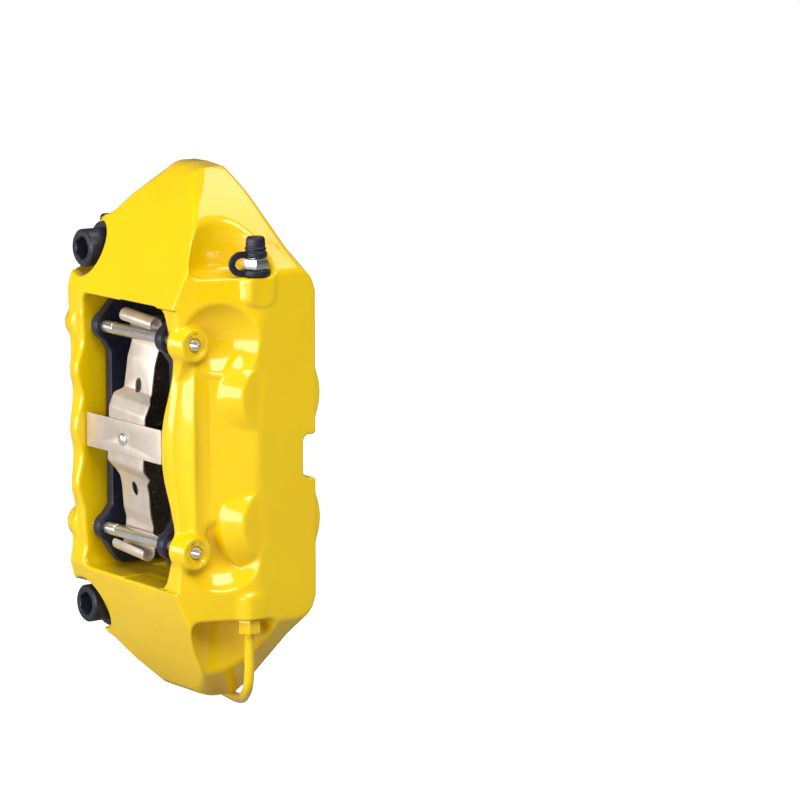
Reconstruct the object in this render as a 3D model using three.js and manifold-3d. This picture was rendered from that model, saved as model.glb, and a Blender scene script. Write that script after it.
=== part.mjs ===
// Four-piston fixed brake caliper for a 345 mm ventilated disc.
// Millimetres, +Z up. Every piece is laid out about the disc: the disc axis is the Y axis, the
// caliper sits on the -X side of it and -Y is the wheel side. The finished group is then moved so
// that its origin is the middle of the two knuckle mounting faces, with +X pointing at the disc axis.
import * as THREE from 'three';
import { mergeVertices } from 'three/addons/utils/BufferGeometryUtils.js';
import Module from 'manifold-3d';

const wasm = await Module();
wasm.setup();

// ---------------------------------------------------------------- driving dimensions
const DISC_RADIUS = 172.5;
const DISC_CLEARANCE = 4.5;          // radial gap from the disc edge to the casting
const SLOT_HALF = 17.5;              // half width of the disc slot through the end bridges

const OUTER_RADIUS = 203;            // the casting's outer skin is concentric with the disc
const BODY_HALF = 62;                // half width across the two piston housings
const FACE_END = 82;                 // the housings' flat sides end here, up and down
const TIP_TOP = 128.5;               // ends of the casting above and below the disc axis
const TIP_BOTTOM = -125;
const TIP_OUTBOARD = 20;             // the tips' flat ends reach this far to the wheel side
const LEG_INNER = 123;               // housings reach this close to the disc axis

const WINDOW_HALF_WIDTH = 33;
const POCKET_REACH = 38.5;           // the window's wheel-side wall steps back at the pad's ears
const POCKET_FLOOR = 176;
const WINDOW_HALF_LENGTH = 65.5;
const RIM_NOSE = [190.8, 195];       // window rims above the disc axis, mid length: wheel side, knuckle side
const RIM_DIP = [187, 190.8];
const RIM_DIP_AT = 40;

const PISTON_RADIUS = 19;
const PISTON_U = 146;                // piston axes: distance from the disc axis
const PISTON_Z = [24, -35];
const BORE_CLEARANCE = 0.12;
const ROUND = 36;                    // sides of the bores and of what runs in them
const BORE_END = 56.5;
const LOBE_RADIUS = 25;

const PIN_U = 183;
const PIN_Z = [50, -47];
const PIN_RADIUS = 3;
const PIN_BORE = 3.25;
const BOSS_RADIUS = 8.5;
const BOSS_FACE = [52, 49.5];        // wheel side, knuckle side
const BOSS_ROOT = 40;
const SPOT_FACE = 6;                 // radius of the seat around each end of a pin

const BOLT_Y = 40;                   // knuckle bolts: offset from the disc's middle plane
const BOLT_Z = 86;
const BOLT_RADIUS = 6;
const BOLT_HEAD = [9, 12];           // radius and height of the socket head
const BOLT_BELOW = 24;               // thread standing out below the mounting face
const BOLT_SEAT = 172.5;
const WASHER = [12, 2.3];
const MOUNT_FACE = 137;              // knuckle mounting faces: distance from the disc axis
const EAR_RADIUS = 13;

const LEDGE_Z = 80.5;                // shoulders that carry the bleeders and the pipe nuts
const SCOOP_U = 166;
const SCOOP_Y = 58.6;
const SCOOP_RADIUS = 20.6;
const PORT_DEPTH = 15;
const BACK_SCOOPS = [[1, 162, 63], [-1, 150, 63.5]];  // end, distance from the disc axis, offset
const BACK_SCOOP_RADIUS = 14;
const BLEEDER_AT = [[-1, 152.7, 56.2], [1, 161, 56.5]];  // side, distance from the disc axis, offset
const PIPE_AT = [[-1, 156, 54], [1, 147, 57]];
const PIPE_RADIUS = 2.38;
const HOSE_PORT = [-150, -5.5];

const PLATE_NEAR = 25;               // pad backing plates, distance from the disc's middle plane
const PLATE_THICK = 5.5;
const LINING_NEAR = 14.4;
const SHIM_THICK = 0.7;
const PLATE_HALF_LENGTH = 64.8;
const PISTON_CROWN = 31.6;
const PISTON_LENGTH = 23.4;
const SEAL_GROOVE = [41, 45];
const BOOT_RECESS = [32, 38];

const SPRING_THICK = 0.8;
const SPRING_HALF_WIDTH = 12.8;
const STRAP_U = 189.6;
const STRAP_HALF = 7.2;

// ---------------------------------------------------------------- materials
const finish = (color, roughness, metalness) =>
  new THREE.MeshStandardMaterial({ color, roughness, metalness });
const paint = finish(0xf5c800, 0.22, 0.0);
const blackSteel = finish(0x1b1c24, 0.45, 0.6);
const steel = finish(0xc9c6c2, 0.22, 1.0);
const springSteel = finish(0xc8bbaa, 0.35, 0.9);
const rubber = finish(0x14151c, 0.6, 0.0);
const friction = finish(0x3a3532, 0.9, 0.1);

// ---------------------------------------------------------------- solids
function solid(geometry) {
  const g = geometry.clone();
  g.deleteAttribute('normal');
  g.deleteAttribute('uv');
  const merged = mergeVertices(g, 1e-4);
  return new wasm.Manifold(new wasm.Mesh({
    numProp: 3,
    vertProperties: new Float32Array(merged.attributes.position.array),
    triVerts: new Uint32Array(merged.index.array),
  }));
}

function geometryOf(manifold) {
  const m = manifold.getMesh();
  const g = new THREE.BufferGeometry();
  g.setAttribute('position', new THREE.BufferAttribute(new Float32Array(m.vertProperties), 3));
  g.setIndex(new THREE.BufferAttribute(new Uint32Array(m.triVerts), 1));
  g.computeVertexNormals();
  return g;
}

const join = (first, ...rest) => rest.reduce((sum, s) => sum.add(s), first);
const cut = (first, ...rest) => rest.reduce((sum, s) => sum.subtract(s), first);

// How an outline's two axes and its extrusion lie in the part, for an extrusion along X, Y or Z.
const LAY = {
  x: [new THREE.Vector3(0, 1, 0), new THREE.Vector3(0, 0, 1), new THREE.Vector3(1, 0, 0)],
  y: [new THREE.Vector3(1, 0, 0), new THREE.Vector3(0, 0, 1), new THREE.Vector3(0, -1, 0)],
  z: [new THREE.Vector3(1, 0, 0), new THREE.Vector3(0, 1, 0), new THREE.Vector3(0, 0, 1)],
};

// An outline of [a, b] points extruded from one plane to another. Along X the outline is in
// (y, z), along Y in (x, z) and along Z in (x, y).
function prism(axis, outline, from, to) {
  const shape = new THREE.Shape(outline.map(([a, b]) => new THREE.Vector2(a, b)));
  const g = new THREE.ExtrudeGeometry(shape, { depth: to - from, bevelEnabled: false });
  const frame = new THREE.Matrix4().makeBasis(...LAY[axis]);
  g.applyMatrix4(frame);
  const start = axis === 'y' ? to : from;
  g.translate(axis === 'x' ? start : 0, axis === 'y' ? start : 0, axis === 'z' ? start : 0);
  return solid(g);
}

function arc(a, b, radius, fromDeg, toDeg, steps) {
  const points = [];
  for (let i = 0; i <= steps; i += 1) {
    const t = THREE.MathUtils.degToRad(fromDeg + ((toDeg - fromDeg) * i) / steps);
    points.push([a + radius * Math.cos(t), b + radius * Math.sin(t)]);
  }
  return points;
}

const circle = (a, b, radius, sides, turnDeg = 0) =>
  arc(a, b, radius, turnDeg, turnDeg + 360, sides).slice(0, sides);

const rod = (axis, [a, b], radius, from, to, sides = 32, turn = 0) =>
  prism(axis, circle(a, b, radius, sides, turn), Math.min(from, to), Math.max(from, to));

const box = ([x0, x1], [y0, y1], [z0, z1]) =>
  prism('z', [[x0, y0], [x1, y0], [x1, y1], [x0, y1]], z0, z1);

// A closed profile of [radius, height] turned about an axis through a point.
function turned(axis, [x, y, z], profile, sides = 32) {
  const points = profile.map(([r, h]) => new THREE.Vector2(r, h));
  if (THREE.ShapeUtils.isClockWise(points)) points.reverse();
  const loop = [...points, points[0]];
  const g = new THREE.LatheGeometry(loop, sides);
  if (axis === 'x') g.rotateZ(-Math.PI / 2);
  if (axis === 'z') g.rotateX(Math.PI / 2);
  g.translate(x, y, z);
  return solid(g);
}

const ring = (axis, at, inner, outer, from, to, sides = 32) =>
  turned(axis, at, [[inner, from], [outer, from], [outer, to], [inner, to]], sides);

// A round bar along a smooth route.
function bent(points, radius, sides, steps) {
  const path = new THREE.CatmullRomCurve3(points.map((p) => new THREE.Vector3(...p)), false,
    'centripetal');
  const section = new THREE.Shape(circle(0, 0, radius, sides)
    .map(([a, b]) => new THREE.Vector2(a, b)));
  return solid(new THREE.ExtrudeGeometry(section, { steps, extrudePath: path }));
}

const caliper = new THREE.Group();

function place(name, manifold, material) {
  const mesh = new THREE.Mesh(geometryOf(manifold), material);
  mesh.name = name;
  caliper.add(mesh);
}

// The two sides of the disc: -1 is the wheel side, +1 the knuckle side.
const SIDES = [['outboard', -1], ['inboard', 1]];
const ENDS = [['upper', 1], ['lower', -1]];
const span = (side, a, b) => [Math.min(side * a, side * b), Math.max(side * a, side * b)];

// ---------------------------------------------------------------- casting
// Height of the outer skin above the disc axis: concentric over the ends, waved along the window.
function skin(z, side) {
  const along = Math.abs(z);
  const concentric = Math.sqrt(OUTER_RADIUS ** 2 - z ** 2);
  if (along > WINDOW_HALF_LENGTH) return concentric;
  const end = Math.sqrt(OUTER_RADIUS ** 2 - WINDOW_HALF_LENGTH ** 2);
  const at = side < 0 ? 0 : 1;
  const [lowZ, low, highZ, high] = along < RIM_DIP_AT
    ? [RIM_DIP_AT, RIM_DIP[at], 0, RIM_NOSE[at]]
    : [RIM_DIP_AT, RIM_DIP[at], WINDOW_HALF_LENGTH, end];
  const t = (along - lowZ) / (highZ - lowZ);
  return low + (high - low) * t * t * (3 - 2 * t);
}

function planOutline() {
  const half = (tip) => [[-BODY_HALF, FACE_END], [-TIP_OUTBOARD, tip], [8, tip], [30, 103],
    [43, 98], [54, 88], [54, LEDGE_Z], [BODY_HALF, LEDGE_Z]];
  return [...half(TIP_TOP), ...half(-TIP_BOTTOM).map(([y, z]) => [y, -z]).reverse()];
}

function sideOutline(side) {
  const stations = [129, 118, 108, 98, 88, 78, 70, 64, 58, 52, 46, 40, 32, 24, 16, 8, 0];
  const outer = [...stations, ...stations.slice(0, -1).map((z) => -z).reverse()]
    .map((z) => [-skin(z, side), z]);
  const inner = [[-132, -82], [-125, -78], [-LEG_INNER, -72], [-LEG_INNER, 72], [-125, 78],
    [-132, 92], [-142, 129]];
  return [...outer, [-142, -129], [-132, -92], ...inner.slice(1)];
}

// The housings' sloping shoulders, cut away from the outer skin down to the flat sides.
const shoulder = (side) => {
  const y = (v) => side * v;
  const outline = [[-205, y(44)], [-190, y(47)], [-157, y(BODY_HALF)], [-157, y(70)], [-205, y(70)]];
  return prism('z', side < 0 ? outline : outline.reverse(), -LEDGE_Z, LEDGE_Z);
};

function castBody() {
  const halves = SIDES.map(([, side]) => prism('y', sideOutline(side), ...span(side, 0, BODY_HALF)));
  let body = prism('x', planOutline(), -205, -115).intersect(join(...halves));
  for (const [, side] of SIDES) body = cut(body, shoulder(side));

  // Piston lobes stand out of the shoulders and of the leg's inner edge.
  for (const [, side] of SIDES) {
    for (const z of PISTON_Z) {
      body = join(body, rod('y', [-PISTON_U, z], LOBE_RADIUS, ...span(side, 34, BODY_HALF), 40));
    }
    body = cut(body, box([-131, -115], span(side, 20, 70), [-14, 3]));
  }

  // Knuckle ears with their bolt holes and head seats.
  for (const [, end] of ENDS) {
    const at = [BOLT_Y, end * BOLT_Z];
    body = join(body, rod('x', at, EAR_RADIUS, -BOLT_SEAT, -MOUNT_FACE, 32));
    body = cut(body,
      rod('x', at, EAR_RADIUS, -205, -BOLT_SEAT, 32),
      box([-MOUNT_FACE, -110], [BOLT_Y - 16, 70], end > 0 ? [72, 130] : [-130, -72]),
      rod('x', at, BOLT_RADIUS + 0.5, -180, -130, 24));
  }

  // Slot for the disc, and the pad pocket that the window opens into.
  body = cut(body,
    rod('y', [0, 0], DISC_RADIUS + DISC_CLEARANCE, -SLOT_HALF, SLOT_HALF, 120),
    box([-210, -110], [-WINDOW_HALF_WIDTH, WINDOW_HALF_WIDTH],
      [-WINDOW_HALF_LENGTH, WINDOW_HALF_LENGTH]),
    ...ENDS.map(([, end]) => box([-210, -POCKET_FLOOR], [-POCKET_REACH, -WINDOW_HALF_WIDTH],
      span(end, 28, 60))));

  for (const [, side] of SIDES) {
    for (const z of PIN_Z) {
      const face = BOSS_FACE[side < 0 ? 0 : 1];
      body = join(body, rod('y', [-PIN_U, z], BOSS_RADIUS, ...span(side, BOSS_ROOT, face), 24));
      body = cut(body, rod('y', [-PIN_U, z], PIN_BORE, ...span(side, 30, 60), 20),
        rod('y', [-PIN_U, z], SPOT_FACE, ...span(side, face, BODY_HALF), 20));
    }
    for (const z of PISTON_Z) {
      body = cut(body,
        rod('y', [-PISTON_U, z], PISTON_RADIUS + BORE_CLEARANCE, ...span(side, 30, BORE_END), ROUND),
        rod('y', [-PISTON_U, z], PISTON_RADIUS + 3.4, ...span(side, ...SEAL_GROOVE), ROUND),
        rod('y', [-PISTON_U, z], PISTON_RADIUS + 3, ...span(side, ...BOOT_RECESS), ROUND));
    }
    // The drilling that joins one side's two bores.
    body = cut(body, rod('z', [-PISTON_U, side * 50], 2, PISTON_Z[1], PISTON_Z[0], 12));
  }

  // Open corners above the upper shoulders, for the bleeders, and below the lower ones.
  for (const end of [1, -1]) {
    body = cut(body, rod('z', [-SCOOP_U, -SCOOP_Y], SCOOP_RADIUS, end * LEDGE_Z, end * 140, 36));
  }
  for (const [end, u, y] of BACK_SCOOPS) {
    body = cut(body, rod('z', [-u, y], BACK_SCOOP_RADIUS, end * LEDGE_Z, end * 140, 36));
  }

  // Threaded ports and their drillings: bleeders above, crossover pipe below, hose at the back.
  const port = ([side, u, y], end) => {
    const bottom = end * (LEDGE_Z - PORT_DEPTH);
    const target = end > 0 ? PISTON_Z[0] : PISTON_Z[1];
    return [rod('z', [-u, side * y], 4, bottom, end * 140, 16),
      rod('z', [-u, side * (y - 2)], 1.5, target, bottom + end, 10)];
  };
  const boss = ([side, u, y], end) => rod('z', [-u, side * y], 7, end * 62, end * LEDGE_Z, 24);
  body = join(body, boss(BLEEDER_AT[1], 1));
  for (const at of BLEEDER_AT) body = cut(body, ...port(at, 1));
  for (const at of PIPE_AT) body = cut(body, ...port(at, -1));
  return cut(body, rod('y', HOSE_PORT, 5.5, BODY_HALF - 11, BODY_HALF + 5, 24));
}

place('caliper_body', castBody(), paint);

// ---------------------------------------------------------------- pistons, seals and boots
for (const [sideName, side] of SIDES) {
  PISTON_Z.forEach((z, i) => {
    const where = `${sideName}_${ENDS[i][0]}`;
    const at = [-PISTON_U, 0, z];
    const y = (v) => side * v;
    const r = PISTON_RADIUS;
    const back = PISTON_CROWN + PISTON_LENGTH;
    place(`piston_${where}`, turned('y', at, [
      [0, y(back)], [r - 1, y(back)], [r, y(back - 1)], [r, y(36)], [r - 1.4, y(36)],
      [r - 1.4, y(33.6)], [r, y(33.6)], [r, y(PISTON_CROWN)], [r - 4.5, y(PISTON_CROWN)],
      [r - 4.5, y(back - 6)], [0, y(back - 6)]], ROUND), steel);
    place(`piston_seal_${where}`,
      ring('y', at, r + 0.12, r + 3.2, ...span(side, SEAL_GROOVE[0] + 0.2, SEAL_GROOVE[1] - 0.2), ROUND),
      rubber);
    place(`dust_boot_${where}`, turned('y', at, [
      [r + 0.15, y(33.2)], [r + 2.8, y(33.2)], [r + 2.8, y(37.8)], [r + 2, y(37.8)],
      [r + 2, y(34.4)], [r + 0.15, y(34.4)]], ROUND), rubber);
  });
}

// ---------------------------------------------------------------- pads
// Backing plate: an annular plate with two ears that hang on the pins.
function plateOutline() {
  const top = 180.5;
  const earTop = (z) => arc(-PIN_U + 1.5, z, 7, 110, 250, 8);
  return [[-122.5, -52], [-128, -PLATE_HALF_LENGTH], [-176, -PLATE_HALF_LENGTH],
    [-181, -59], ...earTop(PIN_Z[1]).reverse(), [-top, -36], [-top, 37],
    ...earTop(PIN_Z[0]).reverse(), [-181, 61], [-176, PLATE_HALF_LENGTH],
    [-128, PLATE_HALF_LENGTH], [-122.5, 52]];
}

function liningOutline() {
  const outer = arc(0, 0, 170.4, 180 - 18.5, 180 + 18.5, 14);
  const inner = arc(0, 0, 125, 180 + 22, 180 - 22, 14);
  return [...outer, ...inner];
}

for (const [sideName, side] of SIDES) {
  const far = PLATE_NEAR + PLATE_THICK;
  let plate = prism('y', plateOutline(), ...span(side, PLATE_NEAR, far));
  for (const z of PIN_Z) {
    plate = cut(plate, rod('y', [-PIN_U, z], PIN_RADIUS + 0.5, ...span(side, 20, 40), 20));
  }
  place(`pad_plate_${sideName}`, plate, blackSteel);
  const groove = box([-175, -115], span(side, LINING_NEAR - 1, LINING_NEAR + 6), [-1.2, 1.2]);
  place(`pad_lining_${sideName}`,
    cut(prism('y', liningOutline(), ...span(side, LINING_NEAR, PLATE_NEAR)), groove), friction);
  const shim = prism('y', [[-126, -58], [-172, -58], [-172, 58], [-126, 58]],
    ...span(side, far + 0.05, far + 0.05 + SHIM_THICK));
  place(`pad_shim_${sideName}`, shim, steel);
}

// ---------------------------------------------------------------- pad pins
PIN_Z.forEach((z, i) => {
  place(`pad_pin_${ENDS[i][0]}`, turned('y', [-PIN_U, 0, z], [
    [0, -54.6], [1.2, -54.2], [2.6, -51.6], [PIN_RADIUS, -51], [PIN_RADIUS, 15.5],
    [PIN_RADIUS - 0.4, 15.7], [PIN_RADIUS - 0.4, 16.8], [PIN_RADIUS, 17], [PIN_RADIUS, 49.8],
    [4.6, 49.8], [4.6, 53.1], [4, 53.7], [0, 53.7]], 24), steel);
});

// ---------------------------------------------------------------- pad spring
// A thin strip: a line of [x, z] points thickened to both sides.
function strip(line, thickness) {
  const at = line.map(([x, z]) => new THREE.Vector2(x, z));
  const normals = at.map((p, i) => {
    const before = at[Math.max(i - 1, 0)];
    const after = at[Math.min(i + 1, at.length - 1)];
    const along = after.clone().sub(before).normalize();
    return new THREE.Vector2(-along.y, along.x);
  });
  const offset = (sign) => at.map((p, i) => p.clone().addScaledVector(normals[i],
    (sign * thickness) / 2));
  return [...offset(1), ...offset(-1).reverse()].map((p) => [p.x, p.y]);
}

function springLine() {
  const curl = 3.2;
  const under = -(PIN_U - PIN_RADIUS - SPRING_THICK);
  const upper = [[under, 44], [under, PIN_Z[0] + 6],
    ...arc(under - curl, PIN_Z[0] + 6.5, curl, 20, 175, 6)];
  const lower = [[under, -41], [under, PIN_Z[1] - 6],
    ...arc(under - curl, PIN_Z[1] - 6.5, curl, -20, -175, 6)];
  const crown = -(STRAP_U - 1.4);
  const middle = [[-180.8, -36], [-182.2, -24], [-184, -16], [crown, -10], [crown, 11],
    [-186, 18], [-182.4, 22], [-181, 37]];
  return [...lower.reverse(), ...middle, ...upper];
}

const springWindows = [25, -22].map((z) => rod('x', [0, z], 3.3, -200, -170, 16));
place('pad_spring', cut(
  prism('y', strip(springLine(), SPRING_THICK), -SPRING_HALF_WIDTH, SPRING_HALF_WIDTH),
  ...springWindows, rod('x', [0, 0], 1.9, -200, -170, 16)), springSteel);
place('spring_cross_strap', cut(
  box([-STRAP_U - 0.5, -STRAP_U + 0.5], [-WINDOW_HALF_WIDTH + 0.4, WINDOW_HALF_WIDTH - 0.4],
    [-STRAP_HALF, STRAP_HALF]),
  rod('x', [0, 0], 1.9, -200, -170, 16)), springSteel);
place('spring_rivet', turned('x', [-STRAP_U, 0, 0], [
  [0, 3.2], [2.6, 3.2], [2.6, 2.2], [1.6, 2.2], [1.6, -0.6], [3.2, -0.6], [3, -1.3], [2, -2],
  [0, -2.3]], 20), steel);

// ---------------------------------------------------------------- bleeders
const SCREW_HEX = 5.5;
BLEEDER_AT.forEach(([side, u, y], i) => {
  const sideName = SIDES[i][0];
  const at = [-u, side * y, LEDGE_Z];
  const hex = rod('z', [-u, side * y], SCREW_HEX / Math.cos(Math.PI / 6), LEDGE_Z + 3.3,
    LEDGE_Z + 8.2, 6);
  const stem = turned('z', at, [[0, -13], [1.6, -13], [3.8, -10], [3.8, 3.3], [3.4, 3.3],
    [3.4, 8.2], [2.6, 9], [2.6, 11.2], [3.4, 12.2], [3.4, 13.4], [2.4, 15.6], [0, 15.6]], 24);
  place(`bleeder_screw_${sideName}`, join(hex, stem), steel);
  place(`bleeder_cap_${sideName}`, turned('z', at, [[3.7, 8.8], [4.9, 8.8], [4.9, 11],
    [4.4, 11.8], [4.4, 13.6], [4.7, 14.2], [4, 18.2], [0, 18.2], [0, 16.1], [3.7, 16.1]], 24),
    rubber);
  place(`bleeder_cap_ring_${sideName}`, ring('z', at, 4.1, 7, 0.3, 2.9, 24), rubber);
  const strapLine = [[5.1, 10], [9, 10.2], [12.2, 8.4], [13, 5.4], [11, 2.4], [7.3, 1.6]];
  const strap = prism('y', strip(strapLine, 1.6), -1.6, 1.6);
  place(`bleeder_cap_strap_${sideName}`,
    strap.rotate([0, 0, side < 0 ? 180 : 0]).translate(at), rubber);
});

// ---------------------------------------------------------------- crossover pipe
PIPE_AT.forEach(([side, u, y], i) => {
  const z = -LEDGE_Z;
  const hex = rod('z', [-u, side * y], 5 / Math.cos(Math.PI / 6), z - 0.3, z - 7, 6);
  const thread = rod('z', [-u, side * y], 3.8, z - 0.3, z + 11, 20);
  place(`pipe_nut_${SIDES[i][0]}`,
    cut(join(hex, thread), rod('z', [-u, side * y], PIPE_RADIUS + 0.25, z - 20, z + 20, 16)),
    paint);
});

function pipeRoute() {
  const down = ([side, u, y]) => [-72, -84, -98].map((z) => [-u, side * y, z]);
  const [outboard, inboard] = PIPE_AT.map(down);
  return [...outboard, [-156, -54, -107], [-154, -52, -114], [-147.5, -44, -119.5],
    [-140, -32, -122.5], [-136.5, -16, -124], [-136.5, 10, -124], [-138, 28, -121],
    [-142, 42, -116], [-146, 54, -109], ...inboard.reverse()];
}

place('crossover_pipe', bent(pipeRoute(), PIPE_RADIUS, 10, 44), paint);

// ---------------------------------------------------------------- knuckle bolts
ENDS.forEach(([endName, end]) => {
  const at = [-BOLT_SEAT, BOLT_Y, end * BOLT_Z];
  const [washerRadius, washerThick] = WASHER;
  const [headRadius, headHeight] = BOLT_HEAD;
  const seat = -washerThick - 0.2;
  const tip = BOLT_SEAT - MOUNT_FACE + BOLT_BELOW;
  place(`mounting_washer_${endName}`,
    ring('x', at, BOLT_RADIUS + 0.4, washerRadius, -washerThick, -0.1, 32), blackSteel);
  const bolt = turned('x', at, [[0, seat - headHeight], [headRadius - 1, seat - headHeight],
    [headRadius, seat - headHeight + 1], [headRadius, seat], [BOLT_RADIUS, seat],
    [BOLT_RADIUS, tip - 1.5], [BOLT_RADIUS - 1.2, tip], [0, tip]], 32);
  const socket = rod('x', [BOLT_Y, end * BOLT_Z], 5 / Math.cos(Math.PI / 6), -BOLT_SEAT - 20,
    -BOLT_SEAT - washerThick - headHeight + 6, 6, 30);
  place(`mounting_bolt_${endName}`, cut(bolt, socket), blackSteel);
});

// The origin goes to the middle of the two knuckle mounting faces.
caliper.position.set(MOUNT_FACE, -BOLT_Y, 0);
export default caliper;
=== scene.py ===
"""Looks of a four-piston fixed brake caliper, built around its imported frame.

Pieces are laid out in millimetres about the brake disc: u is the distance from the disc axis,
y is negative on the wheel side and z runs up along the disc's edge. row() turns that into the
frame's metres. Every piece then rides on the frame's body that it belongs to.
"""

import math

import bmesh
import bpy
import numpy as np
from mathutils import Matrix, Vector


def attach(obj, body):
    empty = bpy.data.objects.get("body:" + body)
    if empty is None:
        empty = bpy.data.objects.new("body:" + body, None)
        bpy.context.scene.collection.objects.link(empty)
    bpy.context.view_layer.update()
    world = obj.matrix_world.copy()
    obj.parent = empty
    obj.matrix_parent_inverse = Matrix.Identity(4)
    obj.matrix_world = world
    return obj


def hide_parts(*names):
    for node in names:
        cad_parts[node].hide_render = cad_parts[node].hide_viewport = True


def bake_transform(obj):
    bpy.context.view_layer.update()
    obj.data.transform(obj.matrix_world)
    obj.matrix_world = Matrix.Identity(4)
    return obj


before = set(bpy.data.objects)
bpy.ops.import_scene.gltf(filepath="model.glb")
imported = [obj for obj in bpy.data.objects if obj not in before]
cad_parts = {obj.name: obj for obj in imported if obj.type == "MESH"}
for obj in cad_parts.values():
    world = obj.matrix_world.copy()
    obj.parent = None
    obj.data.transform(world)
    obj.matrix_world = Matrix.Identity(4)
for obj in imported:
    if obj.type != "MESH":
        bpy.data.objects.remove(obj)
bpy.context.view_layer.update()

MM = 0.001
MOUNT_FACE, BOLT_Y = 137.0, 40.0


def row(points):
    """(u, y, z) in millimetres about the disc to the frame's metres."""
    p = np.asarray(points, float)
    return np.stack([MOUNT_FACE - p[..., 0], p[..., 1] - BOLT_Y, p[..., 2]], -1) * MM


# ---------------------------------------------------------------- dimensions, as in the frame
OUTER_RADIUS = 203.0                # skin, concentric with the disc
BODY_HALF = 62.0                    # flat faces, each side of the disc's middle plane
FACE_END = 82.0                     # where the diagonal facets cut the flat face
TIP_TOP, TIP_BOTTOM = 128.5, -125.0
LEG_INNER = 123.0
LEDGE_Z = 80.5                      # level ledges that carry the bleeders and the pipe's nuts
DISC_ROOM, SLOT_HALF = 177.0, 17.5
WINDOW_Y, WINDOW_Z = 33.5, 65.8     # half sizes of the window
RAIL_FLOOR = 176.0                  # lowest u of the rail and of the window's pocket
PISTON_U, PISTON_Z, PISTON_R = 146.0, (24.0, -35.0), 19.0
PISTON_NEAR, PISTON_FAR = 31.6, 55.0
LINING_NEAR, PLATE_NEAR, PLATE_FAR = 14.4, 25.0, 30.5
PIN_U, PIN_Z, PIN_R = 183.0, (50.0, -47.0), 3.0
BOSS_RADIUS, BOSS_FACE = 8.6, 52.0
BOLT_Z, BOLT_R, BOLT_SEAT, EAR_RADIUS = 86.0, 6.0, 172.5, 13.0
BOLT_PITCH, BLEEDER_PITCH = 1.75, 1.0
WASHER_THICK, WASHER_RADIUS = 2.5, 12.0
BLEEDER_AT = ((-1, 152.7, 56.2), (1, 161.0, 56.5))      # (side, u, distance from the middle plane)
PIPE_AT = ((-1, 156.0, 54.0), (1, 147.0, 57.0))
PORT_R, STEM_R = 4.0, 8.6
PIPE_R, PIPE_CLEAR = 2.38, 0.25
HOSE_U, HOSE_Z, HOSE_R, HOSE_DEPTH = 150.0, -5.5, 5.5, 11.0
SIDES = (("outboard", -1), ("inboard", 1))
ENDS = (("upper", 1), ("lower", -1))


# ---------------------------------------------------------------- materials
def new_material(name, **settings):
    m = bpy.data.materials.new(name)
    m.use_nodes = True
    shader = m.node_tree.nodes["Principled BSDF"]
    for key, value in settings.items():
        socket = shader.inputs[key.replace("_", " ")]
        socket.default_value = value
    return m, m.node_tree, shader


def coordinates(tree, scale=(1, 1, 1)):
    """Object coordinates in millimetres, stretched by scale."""
    n = tree.nodes
    where = n.new("ShaderNodeTexCoord")
    mapping = n.new("ShaderNodeMapping")
    mapping.inputs["Scale"].default_value = [s / MM for s in scale]
    tree.links.new(where.outputs["Object"], mapping.inputs["Vector"])
    return mapping.outputs["Vector"]


def noise(tree, vector, scale, detail=3.0, rough=0.5):
    t = tree.nodes.new("ShaderNodeTexNoise")
    t.inputs["Scale"].default_value = scale
    t.inputs["Detail"].default_value = detail
    t.inputs["Roughness"].default_value = rough
    tree.links.new(vector, t.inputs["Vector"])
    return t.outputs["Fac"]


def spread(tree, value, low, high, from_low=0.3, from_high=0.7):
    """value, mapped from its usual span to low..high."""
    r = tree.nodes.new("ShaderNodeMapRange")
    for key, v in (("From Min", from_low), ("From Max", from_high), ("To Min", low), ("To Max", high)):
        r.inputs[key].default_value = v
    tree.links.new(value, r.inputs["Value"])
    return r.outputs["Result"]


def tint(tree, value, stops):
    r = tree.nodes.new("ShaderNodeValToRGB")
    ramp = r.color_ramp
    while len(ramp.elements) < len(stops):
        ramp.elements.new(0.5)
    for e, (at, colour) in zip(ramp.elements, stops):
        e.position = at
        e.color = (*colour, 1)
    tree.links.new(value, r.inputs["Fac"])
    return r.outputs["Color"]


def bump(tree, shader, height, distance_mm, strength=1.0, coat=False):
    b = tree.nodes.new("ShaderNodeBump")
    b.inputs["Strength"].default_value = strength
    b.inputs["Distance"].default_value = distance_mm * MM
    tree.links.new(height, b.inputs["Height"])
    tree.links.new(b.outputs["Normal"], shader.inputs["Normal"])
    if coat:
        tree.links.new(b.outputs["Normal"], shader.inputs["Coat Normal"])


def paint_material():
    m, t, s = new_material("glossy_yellow_paint", Metallic=0.0, Coat_Weight=1.0,
                           Coat_Roughness=0.035, Coat_IOR=1.5, IOR=1.48,
                           Specular_IOR_Level=0.2)
    at = coordinates(t)
    t.links.new(tint(t, noise(t, at, 0.035, 4), [(0.3, (0.9, 0.585, 0.0)), (0.7, (0.94, 0.63, 0.0))]),
                s.inputs["Base Color"])
    t.links.new(spread(t, noise(t, at, 0.4, 5), 0.3, 0.42), s.inputs["Roughness"])
    bump(t, s, noise(t, at, 0.55, 2), 0.035, 0.35, coat=True)
    return m


def black_material(name, colour, rough, metallic, grain):
    m, t, s = new_material(name, Metallic=metallic, Specular_IOR_Level=0.5)
    at = coordinates(t)
    light = tuple(c * 1.7 + 0.004 for c in colour)
    t.links.new(tint(t, noise(t, at, 0.25, 5), [(0.35, colour), (0.75, light)]), s.inputs["Base Color"])
    t.links.new(spread(t, noise(t, at, 0.9, 4), rough - 0.07, rough + 0.1), s.inputs["Roughness"])
    bump(t, s, noise(t, at, grain, 4, 0.6), 0.03, 0.5)
    return m


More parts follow.
